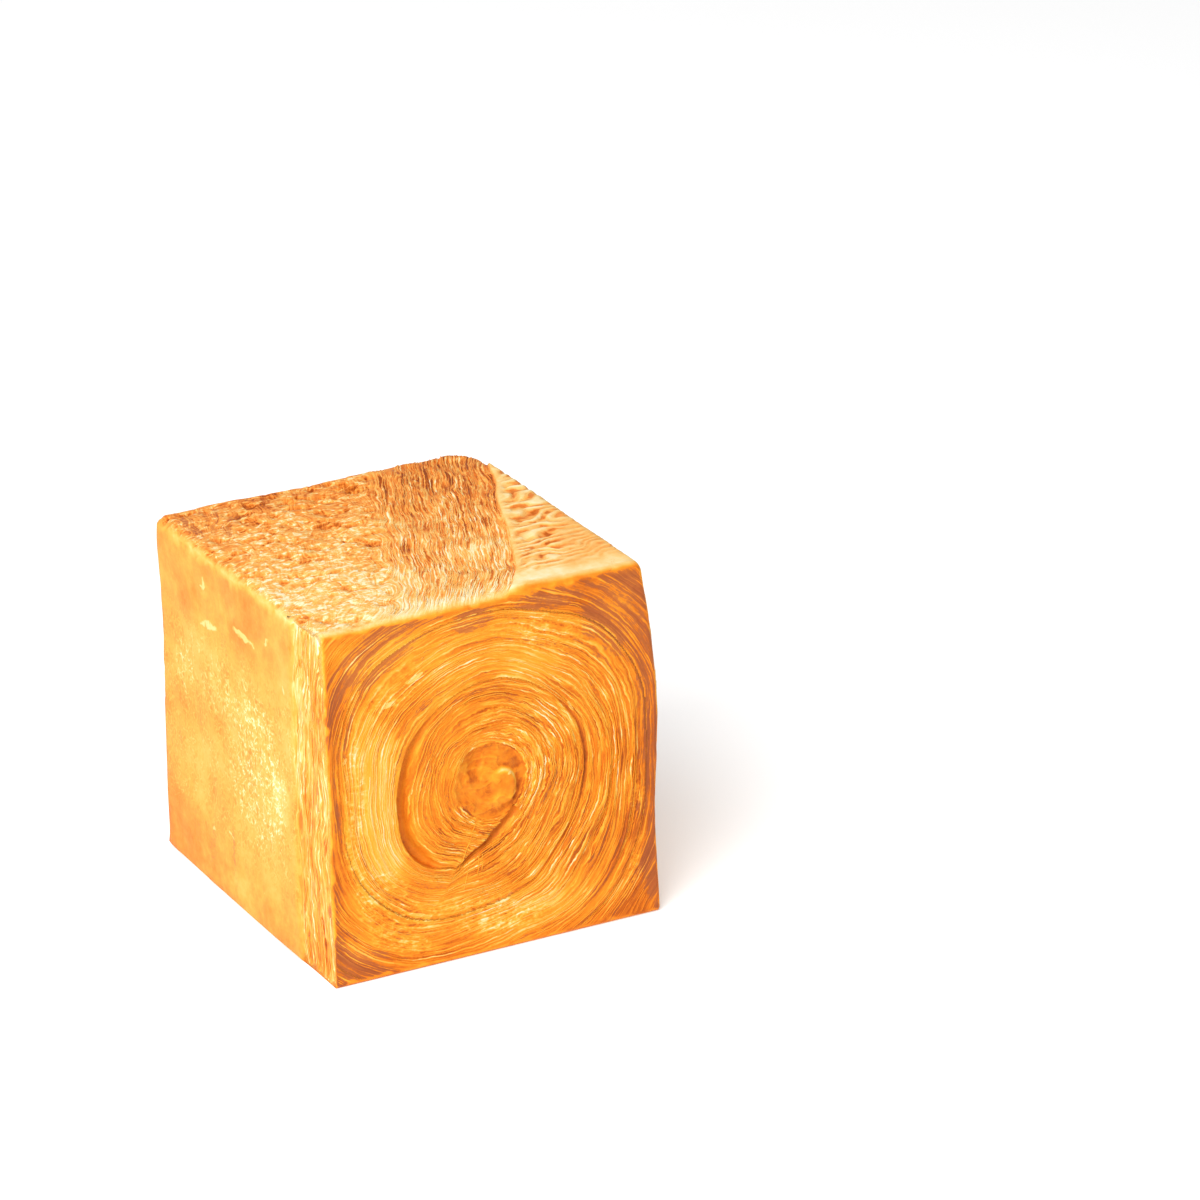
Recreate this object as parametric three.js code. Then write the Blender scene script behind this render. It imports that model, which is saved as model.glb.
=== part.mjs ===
// Cube croissant: laminated dough rolled up, baked standing in a cube mould, uncut and solid.
// Millimetres, +Z up. The origin is the middle of the base. The coil faces -Y, and the other
// end of the same roll faces +Y.
import * as THREE from "three";
import { mergeVertices } from "three/addons/utils/BufferGeometryUtils.js";
import { ImprovedNoise } from "three/addons/math/ImprovedNoise.js";

// ---- Driving dimensions -------------------------------------------------------------------
const SIDE = 65; // each edge of the baked cube
const HALF = SIDE / 2;
const CELLS_ACROSS = 42; // mesh cells along X and along Z
const CELLS_DEEP = 14; // mesh cells along Y
const EDGE_CROWDING = 0.3; // how much closer the cells lie near the edges
const SMALLEST_FEATURE = 0.01; // vertices closer than this are one

// Radii of the four upright edges, which the rims above and below them follow.
const EDGE_RADII = { frontLeft: 1.3, frontRight: 1.7, backLeft: 1.5, backRight: 2.2 };
const BASE_RADIUS_SHARE = 0.6; // the rim on the mould's floor is tighter than the top one
const ROUND_CORNER = 5.5; // seen from above, the back right corner is much rounder than the rest

// How far the uneven cube's corners stand off a true cube's: [x, y, z of the corner], offset.
const CORNER_OFFSETS = [
  [[-1, 1, 1], [0.8, 0.4, -0.7]],
  [[1, 1, 1], [-1.4, 0.9, -0.1]],
  [[1, -1, 1], [-1.8, 1.7, 0.4]],
  [[-1, -1, 1], [-0.1, 0.1, 0.8]],
  [[-1, -1, -1], [1.1, -0.6, 0]],
  [[1, -1, -1], [0.9, -2.0, 0]],
  [[-1, 1, -1], [1.4, 0.2, 0]],
  [[1, 1, -1], [0.4, 0, 0]],
];
const SIDE_PINCH = 0.3; // how far the left wall is drawn in, halfway up its back edge
const SIDE_BULGE = 2.3; // how far the right wall swells, two thirds of the way up

// The rolled sheet. Its turn angle runs clockwise, seen from the front, from where the skin of
// its inner end meets the groove round the inner coil.
const COIL_CENTRE = { x: -0.5, z: -0.5 }; // from the middle of the face
const EYE_RADIUS = 6.9; // the smooth roll in the middle
const COIL_START = THREE.MathUtils.degToRad(242.3); // direction in which the turn angle is 0
const TAIL_LEAVES = THREE.MathUtils.degToRad(293.8); // where the inner end leaves the eye
const GROOVE_RADIUS = 18.5; // of the groove between the first turn and the second
const GROOVE_BENDS = [
  { at: 0, reach: 0.16, out: -1.6 }, // its foot hooks in to meet the inner end
  { at: 0.5, reach: 0.36, out: 1.2 }, // it swells at the lower left
  { at: 1.95, reach: 0.5, out: -0.7 }, // and its shoulder is flatter
];
const SHEET_THICKNESS = 12; // what each turn adds
const TURN_GROWS = [235, 460].map(THREE.MathUtils.degToRad); // where it is added
const CORNER_SQUARING = 0.07; // the outer turns are that much squarer than a circle
const MOST_TURNS = 4;
const ROUND_RINGS = [0.6, 1]; // the mesh's rings turn from round to square between these
const RIDGES_PER_TURN = 2; // bundles of thin layers that stand out
const RIDGE_HEIGHT = 0.45;
const SOFT_STEP = 0.8; // half the width over which a step in the relief rises
const GROOVE_DEPTH = 1.9; // the deep crescent on the left of the inner coil
const GROOVE_REST_DEPTH = 0.7; // the rest of that seam
const GROOVE_WIDTH = 2.6;
const TAIL_STEP = 1.1; // how far the inner coil stands above the skin of its inner end
const PIT = { x: -2.6, z: 3.2, radius: 2.4, depth: 1.8 }; // the hollow in the eye
const BOSS = { x: 2.2, z: -2.2, radius: 2.5, height: 0.8 }; // the smooth lump beside it
const GLAZED_BORDER = 3.5; // the flat rim round the coil, pressed against the mould

// The top. A flap of the sheet lies over its right part, with a straight edge that runs back
// and to the right, beside a band of layers seen on edge.
const FLAP = { x: 21.6, lean: 0.43, height: 0.9, curlFrom: -20, curl: 0.02 };
const BAND_WIDTH = 24;
const BAND_RIDGES = 6;
const BAND_RIDGE_HEIGHT = 0.4;
const FLAP_RIPPLES = { pitch: 7, height: 0.35 };
const CRUMPLE = { size: 9, height: 0.45 }; // the lumpy left part of the top
const SKIN_DIMPLES = { size: 14, height: 0.35 }; // on the two mottled sides
const LAYERED_STRIP = { width: 12, step: 0.4 }; // layers seen along a side's front edge

const noise = new ImprovedNoise();
const { clamp, smoothstep, lerp } = THREE.MathUtils;
const bell = (distance, width) => Math.exp(-((distance / width) ** 2));
const turned = (angle) => ((angle % (2 * Math.PI)) + 2 * Math.PI) % (2 * Math.PI);

// ---- The coil -----------------------------------------------------------------------------
// Radius of the groove after a turn angle that keeps growing from one turn to the next.
function grooveRadius(angle) {
  let radius = GROOVE_RADIUS;
  for (const { at, reach, out } of GROOVE_BENDS) radius += out * bell(angle - at, reach);
  for (let turn = 0; turn < MOST_TURNS; turn += 1) {
    const whole = turn * 2 * Math.PI;
    radius += SHEET_THICKNESS * smoothstep(angle, TURN_GROWS[0] + whole, TURN_GROWS[1] + whole);
  }
  return radius;
}

// Inner skin of the first turn: round the eye, and then straight out along a tangent.
function skinRadius(angle) {
  return angle < TAIL_LEAVES ? EYE_RADIUS : EYE_RADIUS / Math.cos(angle - TAIL_LEAVES);
}

// Where a point of the coil face lies in the rolled sheet: its radius, its turn angle and its
// layer, which grows by 1 with each turn.
function sheetPlace(x, z) {
  const [dx, dz] = [x - COIL_CENTRE.x, z - COIL_CENTRE.z];
  const direction = Math.atan2(dz, dx);
  const round = Math.hypot(dx, dz);
  const squared = (CORNER_SQUARING * (1 - Math.cos(4 * direction))) / 2;
  const radius = round * (1 - squared * smoothstep(round, GROOVE_RADIUS, HALF));
  const angle = turned(COIL_START - direction);
  const beforeStart = angle > TAIL_LEAVES && radius < skinRadius(angle);
  let inner = beforeStart ? EYE_RADIUS : skinRadius(angle);
  let outer = grooveRadius(beforeStart ? 0 : angle);
  let turn = 0;
  while (radius > outer && turn < MOST_TURNS) {
    inner = outer;
    turn += 1;
    outer = grooveRadius(angle + turn * 2 * Math.PI);
  }
  const layer = turn + (radius - inner) / (outer - inner);
  return { radius, angle, layer, beforeStart };
}

// Height of the coil face, outward from the flat wall of the mould.
function coilRelief(x, z) {
  const { radius, angle, layer, beforeStart } = sheetPlace(x, z);
  const toBorder = HALF - Math.max(Math.abs(x), Math.abs(z));
  const free = smoothstep(toBorder, 0, GLAZED_BORDER);
  const pastSkin = angle > TAIL_LEAVES ? radius - skinRadius(angle) : HALF;
  const offTail = smoothstep(Math.abs(pastSkin), 0, 2 * SOFT_STEP);
  const ridges = layer > 0 ? Math.cos(2 * Math.PI * RIDGES_PER_TURN * layer) : 0;
  let height = RIDGE_HEIGHT * (ridges * offTail - 1) * free;
  const crescent = bell(angle - 1.0, 0.9);
  const depth = lerp(GROOVE_REST_DEPTH, GROOVE_DEPTH, crescent);
  const within = grooveRadius(beforeStart ? 0 : angle) - radius;
  const lip = smoothstep(within, -SOFT_STEP, SOFT_STEP);
  const seam = lip * (1 - smoothstep(within, 2 * SOFT_STEP, GROOVE_WIDTH + SOFT_STEP));
  height -= depth * seam * (beforeStart ? 0.3 : 1);
  const tail = smoothstep(pastSkin, -SOFT_STEP, SOFT_STEP) * bell(pastSkin, GROOVE_WIDTH);
  height -= TAIL_STEP * tail;
  height -= PIT.depth * bell(Math.hypot(x - PIT.x, z - PIT.z), PIT.radius);
  height += BOSS.height * bell(Math.hypot(x - BOSS.x, z - BOSS.z), BOSS.radius);
  return height;
}

// ---- The other faces ----------------------------------------------------------------------
function topRelief(x, y) {
  const curl = FLAP.curl * Math.min(0, y - FLAP.curlFrom) ** 2;
  const pastFlap = x - (FLAP.x + FLAP.lean * y - curl);
  const onFlap = smoothstep(pastFlap, -0.9, 0.9);
  const behindRim = smoothstep(y + HALF, 1, 8);
  const onBand = (1 - onFlap) * smoothstep(pastFlap, -BAND_WIDTH - 4, -BAND_WIDTH + 4);
  const crumpled = noise.noise(x / CRUMPLE.size, y / CRUMPLE.size, 3.7) * CRUMPLE.height;
  const ridge = Math.cos((2 * Math.PI * BAND_RIDGES * pastFlap) / BAND_WIDTH) - 1;
  const wander = noise.noise(x / CRUMPLE.size, y / CRUMPLE.size, 8.2);
  const ripple = Math.sin((2 * Math.PI * (y + 2 * wander)) / FLAP_RIPPLES.pitch);
  const nearFlapEdge = 1 - smoothstep(pastFlap, 4, 12);
  const flap = FLAP.height * (1 - 0.5 * smoothstep(pastFlap, 3, 16));
  return (
    crumpled * (1 - onFlap) +
    (BAND_RIDGE_HEIGHT / 2) * ridge * onBand * behindRim +
    onFlap * (flap + FLAP_RIPPLES.height * ripple * nearFlapEdge)
  );
}

function sideRelief(y, z, seed) {
  const dimples = noise.noise(y / SKIN_DIMPLES.size, z / SKIN_DIMPLES.size, seed);
  const onStrip = 1 - smoothstep(y + HALF, LAYERED_STRIP.width - 1, LAYERED_STRIP.width + 1);
  return dimples * SKIN_DIMPLES.height - LAYERED_STRIP.step * onStrip;
}

// ---- The whole body -----------------------------------------------------------------------
const crowded = (t) => lerp(t, Math.sin((Math.PI / 2) * t), EDGE_CROWDING);

// Radius of the rounding at a place of the cube, blended between the four upright edges.
function edgeRadius(p) {
  const right = smoothstep(p.x, -HALF, HALF);
  const back = smoothstep(p.y, -HALF, HALF);
  const front = lerp(EDGE_RADII.frontLeft, EDGE_RADII.frontRight, right);
  const rear = lerp(EDGE_RADII.backLeft, EDGE_RADII.backRight, right);
  return lerp(front, rear, back) * lerp(BASE_RADIUS_SHARE, 1, smoothstep(p.z, -HALF, 0));
}

// Moves a point of the sharp cube to the rounded cube, and gives its outward direction.
function rounded(p) {
  const core = HALF - edgeRadius(p);
  const nearest = p.clone().clampScalar(-core, core);
  const outward = p.clone().sub(nearest).normalize();
  return roundedCorner({ place: nearest.addScaledVector(outward, HALF - core), outward });
}

// Draws the back right corner in, from a square one to a quarter circle seen from above.
function roundedCorner({ place, outward }) {
  const [x, y] = [place.x, place.y].map((v) => Math.max(0, v - (HALF - ROUND_CORNER)));
  if (x > 0 && y > 0) {
    const far = Math.hypot(x, y);
    const kept = Math.max(x, y) / far;
    const level = Math.hypot(outward.x, outward.y);
    place.set(HALF - ROUND_CORNER + x * kept, HALF - ROUND_CORNER + y * kept, place.z);
    outward.set((x / far) * level, (y / far) * level, outward.z);
  }
  return { place, outward };
}

// Outward relief of each face, shared out by how far a point looks that way.
function relief(place, outward) {
  const move = new THREE.Vector3();
  const share = (value) => Math.max(0, value);
  move.y -= share(-outward.y) * coilRelief(place.x, place.z);
  move.y += share(outward.y) * coilRelief(place.x, place.z);
  move.z += share(outward.z) * topRelief(place.x, place.y);
  move.x -= share(-outward.x) * sideRelief(place.y, place.z, 1.3);
  move.x += share(outward.x) * sideRelief(place.y, place.z, 6.1);
  return move;
}

// Slow unevenness of the whole cube: its corners, the pinched left wall and the full right one.
function unevenness(p) {
  const move = new THREE.Vector3();
  const at = p.clone().divideScalar(HALF).clampScalar(-1, 1);
  for (const [[x, y, z], offset] of CORNER_OFFSETS) {
    const share = ((1 + x * at.x) * (1 + y * at.y) * (1 + z * at.z)) / 8;
    move.addScaledVector(new THREE.Vector3(...offset), share);
  }
  const waist = Math.cos((Math.PI / 2) * at.z) ** 2;
  const shoulder = bell(at.z - 0.3, 0.6);
  move.x += SIDE_PINCH * waist * clamp(-at.x, 0, 1) * lerp(0.4, 1, (1 + at.y) / 2);
  move.x += SIDE_BULGE * shoulder * clamp(at.x, 0, 1);
  return move;
}

// Bends the square cells of a coil face into rings that follow the coil, square at the rim.
function alongCoil(a, b) {
  const ring = Math.max(Math.abs(a), Math.abs(b));
  if (ring === 0) return [COIL_CENTRE.x, COIL_CENTRE.z];
  const steep = Math.abs(b) > Math.abs(a);
  const slope = (steep ? a / b : b / a) * (Math.PI / 4);
  const quarter = steep ? Math.PI / 2 - slope : slope;
  const direction = (steep ? b : a) < 0 ? quarter + Math.PI : quarter;
  const square = smoothstep(ring, ...ROUND_RINGS);
  return [
    lerp(COIL_CENTRE.x + HALF * ring * Math.cos(direction), HALF * crowded(a), square),
    lerp(COIL_CENTRE.z + HALF * ring * Math.sin(direction), HALF * crowded(b), square),
  ];
}

// A vertex of the two-unit box, moved to its place on the sharp cube.
function onCube(p) {
  const [x, z] = Math.abs(p.y) === 1 ? alongCoil(p.x, p.z) : [p.x, p.z].map(crowded);
  const size = Math.abs(p.y) === 1 ? 1 : HALF;
  return p.set(x * size, crowded(p.y) * HALF, z * size);
}

function croissantGeometry() {
  const box = new THREE.BoxGeometry(2, 2, 2, CELLS_ACROSS, CELLS_DEEP, CELLS_ACROSS);
  box.deleteAttribute("normal");
  box.deleteAttribute("uv");
  const geometry = mergeVertices(box, SMALLEST_FEATURE);
  const points = geometry.getAttribute("position");
  const p = new THREE.Vector3();
  for (let i = 0; i < points.count; i += 1) {
    p.fromBufferAttribute(points, i);
    const { place, outward } = rounded(onCube(p));
    const moved = place.clone().add(relief(place, outward)).add(unevenness(place));
    points.setXYZ(i, moved.x, moved.y, moved.z);
  }
  geometry.computeBoundingBox();
  const { min, max } = geometry.boundingBox;
  geometry.translate(-(min.x + max.x) / 2, -(min.y + max.y) / 2, -min.z);
  geometry.computeVertexNormals();
  return geometry;
}

const bakedCrust = new THREE.MeshStandardMaterial({
  color: 0xe8953f,
  roughness: 0.55,
  metalness: 0,
});

const croissant = new THREE.Mesh(croissantGeometry(), bakedCrust);
croissant.name = "croissant_cube";

const part = new THREE.Group();
part.name = "cube_croissant";
part.add(croissant);

export default part;
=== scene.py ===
"""Cube croissant: rolled laminated dough baked in a cube mould, whole and uncut.

Lengths are millimetres until a mesh is written, which is in metres in the frame's own axes:
+Z up, the middle of the base at the origin, and the coil facing -Y.
"""
import math

import bpy
import numpy as np
from mathutils import Matrix, Vector


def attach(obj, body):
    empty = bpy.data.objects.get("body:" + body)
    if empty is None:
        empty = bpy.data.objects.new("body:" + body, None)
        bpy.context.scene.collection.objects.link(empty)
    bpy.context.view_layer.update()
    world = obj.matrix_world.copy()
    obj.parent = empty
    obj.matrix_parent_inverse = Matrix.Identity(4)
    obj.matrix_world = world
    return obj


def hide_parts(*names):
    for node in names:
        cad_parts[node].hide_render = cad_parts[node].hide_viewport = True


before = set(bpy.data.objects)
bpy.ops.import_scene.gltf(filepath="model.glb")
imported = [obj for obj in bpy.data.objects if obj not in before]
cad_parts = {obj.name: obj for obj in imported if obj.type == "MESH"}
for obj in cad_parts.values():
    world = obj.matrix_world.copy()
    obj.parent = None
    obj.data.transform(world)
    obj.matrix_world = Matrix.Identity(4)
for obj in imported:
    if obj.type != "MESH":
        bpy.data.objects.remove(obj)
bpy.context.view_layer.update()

MM = 0.001
NODE = "croissant_cube"
BODY = "root"

# ---- Driving dimensions, as in the part's source -------------------------------------------
SIDE = 65.0
HALF = SIDE / 2
EDGE_RADII = {"front_left": 1.3, "front_right": 1.7, "back_left": 1.5, "back_right": 2.2}
BASE_RADIUS_SHARE = 0.6
ROUND_CORNER = 5.5
CORNER_OFFSETS = (
    ((-1, 1, 1), (0.8, 0.4, -0.7)),
    ((1, 1, 1), (-1.4, 0.9, -0.1)),
    ((1, -1, 1), (-1.8, 1.7, 0.4)),
    ((-1, -1, 1), (-0.1, 0.1, 0.8)),
    ((-1, -1, -1), (1.1, -0.6, 0.0)),
    ((1, -1, -1), (0.9, -2.0, 0.0)),
    ((-1, 1, -1), (1.4, 0.2, 0.0)),
    ((1, 1, -1), (0.4, 0.0, 0.0)),
)
SIDE_PINCH = 0.3
SIDE_BULGE = 2.3

COIL_CENTRE = (-0.5, -0.5)
EYE_RADIUS = 6.9
COIL_START = math.radians(242.3)
TAIL_LEAVES = math.radians(293.8)
GROOVE_RADIUS = 18.5
GROOVE_BENDS = ((0, 0.16, -1.6), (0.5, 0.36, 1.2), (1.95, 0.5, -0.7))  # angle, reach, out
SHEET_THICKNESS = 12.0
TURN_GROWS = (math.radians(235), math.radians(460))
CORNER_SQUARING = 0.07
MOST_TURNS = 4
GROOVE_DEPTH = 1.9
GROOVE_WIDTH = 2.6
TAIL_STEP = 1.1
PIT = {"x": -2.6, "z": 3.2, "radius": 2.4, "depth": 1.8}
BOSS = {"x": 2.2, "z": -2.2, "radius": 2.5, "height": 0.8}

FLAP = {"x": 21.6, "lean": 0.43, "height": 0.9, "curl_from": -20.0, "curl": 0.02}
BAND_WIDTH = 24.0
FLAP_RIPPLES = {"pitch_behind": 3.3, "pitch_in_front": 2.2, "height": 0.35}
CRUMPLE = {"size": 9.0, "height": 0.45}
SKIN_DIMPLES = {"size": 14.0, "height": 0.35}
LAYERED_STRIP = {"width": 12.0, "step": 0.4}

# ---- The finer build of the visible crust --------------------------------------------------
FINE_CELLS = 280  # along X and Z
FINE_CELLS_DEEP = 200  # along Y
MOST_TRIANGLES = 190_000
DETAIL = (0.5, 0.25, 1.0, 0.6, 0.0, 0.9)  # small faces kept: left, right, front, back, base, top
FACE_SEEDS = {"front": 100, "back": 200, "top": 300, "left": 400, "right": 500, "base": 600}
LEAVES_PER_TURN = 13  # thin layers in the thickness of one turn of the sheet
LEAF_SLIT = 0.27  # deepest gap between two layers
TURN_LENGTH = 2 * math.pi * GROOVE_RADIUS  # of the sheet, once round
BAND_LEAF = 0.95  # thickness of a layer seen on edge on the top
STRIP_LEAF = 1.1  # and beside the coil on the two sides
CREAM_BORDER = 3.2  # pale strip along the top's front edge

# Deeper soft ovals among the flap's ripples: x, y, half length, half width, turn in degrees
FLAP_DIMPLES = (
    (27.6, 10.1, 1.9, 0.8, 20),
    (26.2, 3.1, 2.9, 0.8, 10),
    (25.2, -0.3, 3.0, 0.8, 15),
    (25.0, -3.4, 1.9, 0.9, 40),
    (21.6, -5.7, 1.9, 0.8, 12),
    (28.0, -7.3, 1.9, 0.9, 32),
    (19.4, -13.4, 1.9, 1.1, 60),
    (23.6, -13.2, 2.5, 1.0, 28),
    (19.5, -17.6, 2.3, 0.8, 12),
)
# Pale flecks on the two skins: along, up, half length, half width, turn in degrees
SIDE_FLECKS = (
    (-2.0, 21.8, 3.8, 0.9, 3),
    (1.5, 19.3, 1.6, 0.6, 0),
    (-11.9, 24.0, 1.9, 0.9, -40),
    (-12.5, 28.0, 0.6, 0.4, 0),
    (13.2, 26.0, 1.6, 1.0, -55),
    (11.5, 19.0, 3.8, 0.9, -12),
    (-10.2, -23.2, 1.9, 0.35, -25),
    (-7.5, -24.8, 0.8, 0.4, 10),
    (12.7, -21.0, 0.8, 0.5, 20),
    (5.5, -19.0, 1.5, 0.5, 25),
    (-6.2, 21.5, 0.7, 0.9, 0),
    (-17.0, 17.0, 0.4, 1.2, 0),
    (24.5, -13.5, 0.7, 0.8, 0),
    (22.0, 2.5, 1.2, 0.4, 35),
)
FRONT_FLECKS = (
    (-19.6, 17.5, 1.6, 0.5, 10),
    (-13.9, 21.4, 1.8, 0.5, 25),
    (15.3, 9.5, 1.4, 0.35, -62),
    (3.2, 0.2, 0.5, 0.25, 20),
    (-28.5, 9.0, 0.8, 0.4, 60),
)

# Zones of the coil: strength, middle, reach each way, number of the uneven edge, turn in degrees
GLAZED_ZONES = (
    (1.0, (28, 27), (9, 16), 10, -38),
    (0.85, (32, 4), (4.5, 26), 11, 4),
    (1.0, (33, -25), (4.5, 18), 12, 5),
    (0.9, (-29, -30), (17, 7), 13, -32),
    (0.78, (-20, 28), (22, 6), 14, 30),
    (0.7, (-33.5, -2), (4, 32), 15, 0),
    (0.6, (-31, 14), (3, 12), 17, -10),
    (0.9, (-2, 29.5), (5, 3), 16, 0),
    (0.8, (15, 30.5), (13, 2.5), 18, 3),
)
CRUMB_ZONES = (
    (1.0, (-2, -25), (14, 5), 20, -8),
    (0.9, (-20, -21), (6, 13), 21, 32),
    (0.8, (12, 24), (15, 4), 22, -16),
    (0.8, (-27, 2), (2.5, 18), 23, -3),
    (0.7, (28, -9), (2, 5), 24, -10),
    (0.7, (27.5, -22), (2, 6), 25, -15),
    (0.6, (-19, 19), (9, 4), 26, 35),
)
OPENED_ZONES = (
    (1.0, (16, -3), (15, 24), 30, -12),
    (1.0, (-4, -11), (12, 7), 31, -30),
    (0.7, (5, 8), (10, 7), 32, -25),
    (0.5, (25, 0), (7, 26), 33, 0),
)
# Zones where the coil is browner, or paler where the strength is below nought
BROWNED_ZONES = (
    (-0.15, (-23.5, 0), (7, 24), 41, 0),
    (-0.07, (2, 22), (22, 8), 42, -8),
    (-0.1, (-4, -24), (18, 7), 43, -5),
    (0.1, (-30.5, 6), (4, 28), 47, 0),
    (0.1, (-29, -30), (20, 9), 13, -32),
)
# Zones of the two skins
MOTTLED_ZONES = (
    (1.0, (-5, -2), (15, 20), 6, -20),
    (0.9, (23, 7), (6, 7), 7, 0),
    (0.8, (10, 7), (10, 7), 8, 0),
    (0.5, (14, -14), (10, 8), 9, 0),
)


# ---- Smooth random fields ------------------------------------------------------------------
def smooth(x, low, high):
    """0 below low, 1 above high, and an S-curve between them."""
    t = np.clip((x - low) / (high - low), 0, 1)
    return t * t * (3 - 2 * t)


def bell(distance, width):
    return np.exp(-((distance / width) ** 2))


def mix(a, b, share):
    return a + (b - a) * share


def scatter(i, j, seed):
    """A random number from -1 to 1 for each whole-numbered place."""
    h = i.astype(np.uint32) * np.uint32(374761393) + j.astype(np.uint32) * np.uint32(668265263)
    h += np.uint32((seed * 974634777 + 1013904223) % 2**32)
    h = (h ^ (h >> np.uint32(13))) * np.uint32(1274126177)
    h ^= h >> np.uint32(16)
    return h.astype(np.float64) / 2**31 - 1


def drift(x, y, seed):
    """Smooth noise from about -1 to 1, with features one unit across."""
    i, j = np.floor(x), np.floor(y)
    u, v = x - i, y - j
    i, j = i.astype(np.int64), j.astype(np.int64)
    u = u * u * u * (u * (u * 6 - 15) + 10)
    v = v * v * v * (v * (v * 6 - 15) + 10)
    low = mix(scatter(i, j, seed), scatter(i + 1, j, seed), u)
    high = mix(scatter(i, j + 1, seed), scatter(i + 1, j + 1, seed), u)
    return mix(low, high, v)


def rough(x, y, seed, octaves=3):
    """Noise with finer and finer features on top of each other."""
    total, share = 0.0, 1.0
    for octave in range(octaves):
        total = total + share * drift(x * 2**octave, y * 2**octave, seed + 17 * octave)
        share *= 0.5
    return total / 1.6


def patch(x, y, centre, reach, seed, turn=0.0):
    """A soft-edged uneven blotch: 1 in its middle, 0 past its reach."""
    dx, dy = x - centre[0], y - centre[1]
    c, s = math.cos(math.radians(turn)), math.sin(math.radians(turn))
    along = (dx * c + dy * s) / reach[0]
    across = (dy * c - dx * s) / reach[1]
    edge = np.hypot(along, across) + 0.28 * rough(x / 5, y / 5, seed)
    return 1 - smooth(edge, 0.55, 1.1)


def patches(x, y, zones, seed):
    """A blotch for each row of a table of zones."""
    return [strength * patch(x, y, middle, reach, seed + number, turn)
            for strength, middle, reach, number, turn in zones]


def spots(x, y, table, seed):
    """Soft hills over small ovals: 1 in the middle, half way down on the outline."""
    hills = np.zeros_like(x)
    for at_x, at_y, length, width, turn in table:
        c, s = math.cos(math.radians(turn)), math.sin(math.radians(turn))
        u, v = (x - at_x) * c + (y - at_y) * s, (y - at_y) * c - (x - at_x) * s
        away = np.hypot(u / length, v / width) + 0.2 * drift(x / 1.2, y / 1.2, seed)
        hills = np.maximum(hills, np.clip(1 - 0.5 * away, 0, 1))
    return hills


# ---- The coil ------------------------------------------------------------------------------
def groove_radius(angle):
    radius = GROOVE_RADIUS + np.zeros_like(angle)
    for at, reach, out in GROOVE_BENDS:
        radius = radius + out * bell(angle - at, reach)
    for turn in range(MOST_TURNS):
        whole = turn * 2 * math.pi
        grown = smooth(angle, TURN_GROWS[0] + whole, TURN_GROWS[1] + whole)
        radius = radius + SHEET_THICKNESS * grown
    return radius


def skin_radius(angle):
    """Inner skin of the first turn: round the eye, then straight out along a tangent."""
    past = np.maximum(0, angle - TAIL_LEAVES)
    return EYE_RADIUS / np.cos(past)


def sheet_place(x, z):
    """Where points of a coil face lie in the rolled sheet."""
    dx, dz = x - COIL_CENTRE[0], z - COIL_CENTRE[1]
    direction = np.arctan2(dz, dx)
    away = np.hypot(dx, dz)
    squared = CORNER_SQUARING * (1 - np.cos(4 * direction)) / 2
    radius = away * (1 - squared * smooth(away, GROOVE_RADIUS, HALF))
    angle = np.mod(COIL_START - direction, 2 * math.pi)
    before = (angle > TAIL_LEAVES) & (radius < skin_radius(angle))
    inner = np.where(before, EYE_RADIUS, skin_radius(angle))
    outer = groove_radius(np.where(before, 0.0, angle))
    layer = (radius - inner) / (outer - inner)
    for turn in range(1, MOST_TURNS + 1):
        low = groove_radius(angle + (turn - 1) * 2 * math.pi)
        high = groove_radius(angle + turn * 2 * math.pi)
        layer = np.where((layer >= turn) & ~before, turn + (radius - low) / (high - low), layer)
    turned = np.where(before, angle / (2 * math.pi) - 1, angle / (2 * math.pi))
    along = (np.maximum(0, np.floor(layer)) + turned) * TURN_LENGTH
    return radius, angle, layer, along, before


def leaves(phase, along, seed, length=6.0):
    """Thin layers, one for each whole number of phase: the gap at each whole number, how wide
    it opens, and an uneven lift of each layer."""
    gap_number, leaf = np.round(phase), np.floor(phase)
    apart = np.abs(phase - gap_number)
    gape = smooth(drift(along / length, gap_number * 5.7, seed), 0.05, 0.75)
    gape *= 0.65 + 0.35 * drift(along / (3.3 * length), gap_number * 3.1, seed + 1)
    gap = 1 - smooth(apart, 0.02, mix(0.14, 0.45, gape))
    lift = drift(along / (2 * length), leaf * 4.3, seed + 2)
    return gap, gape, lift


def coil_layers(x, z, seed):
    """The rolled sheet at points of a coil face: its place as in sheet_place, and its phase,
    which counts thin layers from the inner side of each turn."""
    wx = x + 0.7 * drift(x / 13, z / 13, seed) + 0.12 * drift(x / 4.5, z / 4.5, seed + 1)
    wz = z + 0.7 * drift(x / 13, z / 13, seed + 2) + 0.12 * drift(x / 4.5, z / 4.5, seed + 3)
    radius, angle, layer, along, before = sheet_place(wx, wz)
    share = np.where(layer > 0, layer - np.floor(layer), layer)
    window = 1 - np.clip(2 * share - 1, -1, 1) ** 6
    phase = LEAVES_PER_TURN * share + window * 0.75 * drift(along / 15, share * 3.1, seed + 4)
    phase = phase + window * 0.3 * drift(along / 5, share * 6.3, seed + 5)
    return radius, angle, layer, along, before, phase


def coil_zones(x, z, seed):
    """How glazed, how crumbly and how far opened the layers of a coil face are."""
    glaze = np.maximum.reduce(patches(x, z, GLAZED_ZONES, seed))
    crumb = np.maximum.reduce(patches(x, z, CRUMB_ZONES, seed)) * (1 - glaze)
    opened = np.maximum.reduce(patches(x, z, OPENED_ZONES, seed))
    opened = np.clip(0.12 + 0.9 * opened - 0.35 * crumb, 0, 1) * (1 - 0.8 * glaze)
    return glaze, crumb, opened


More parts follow.
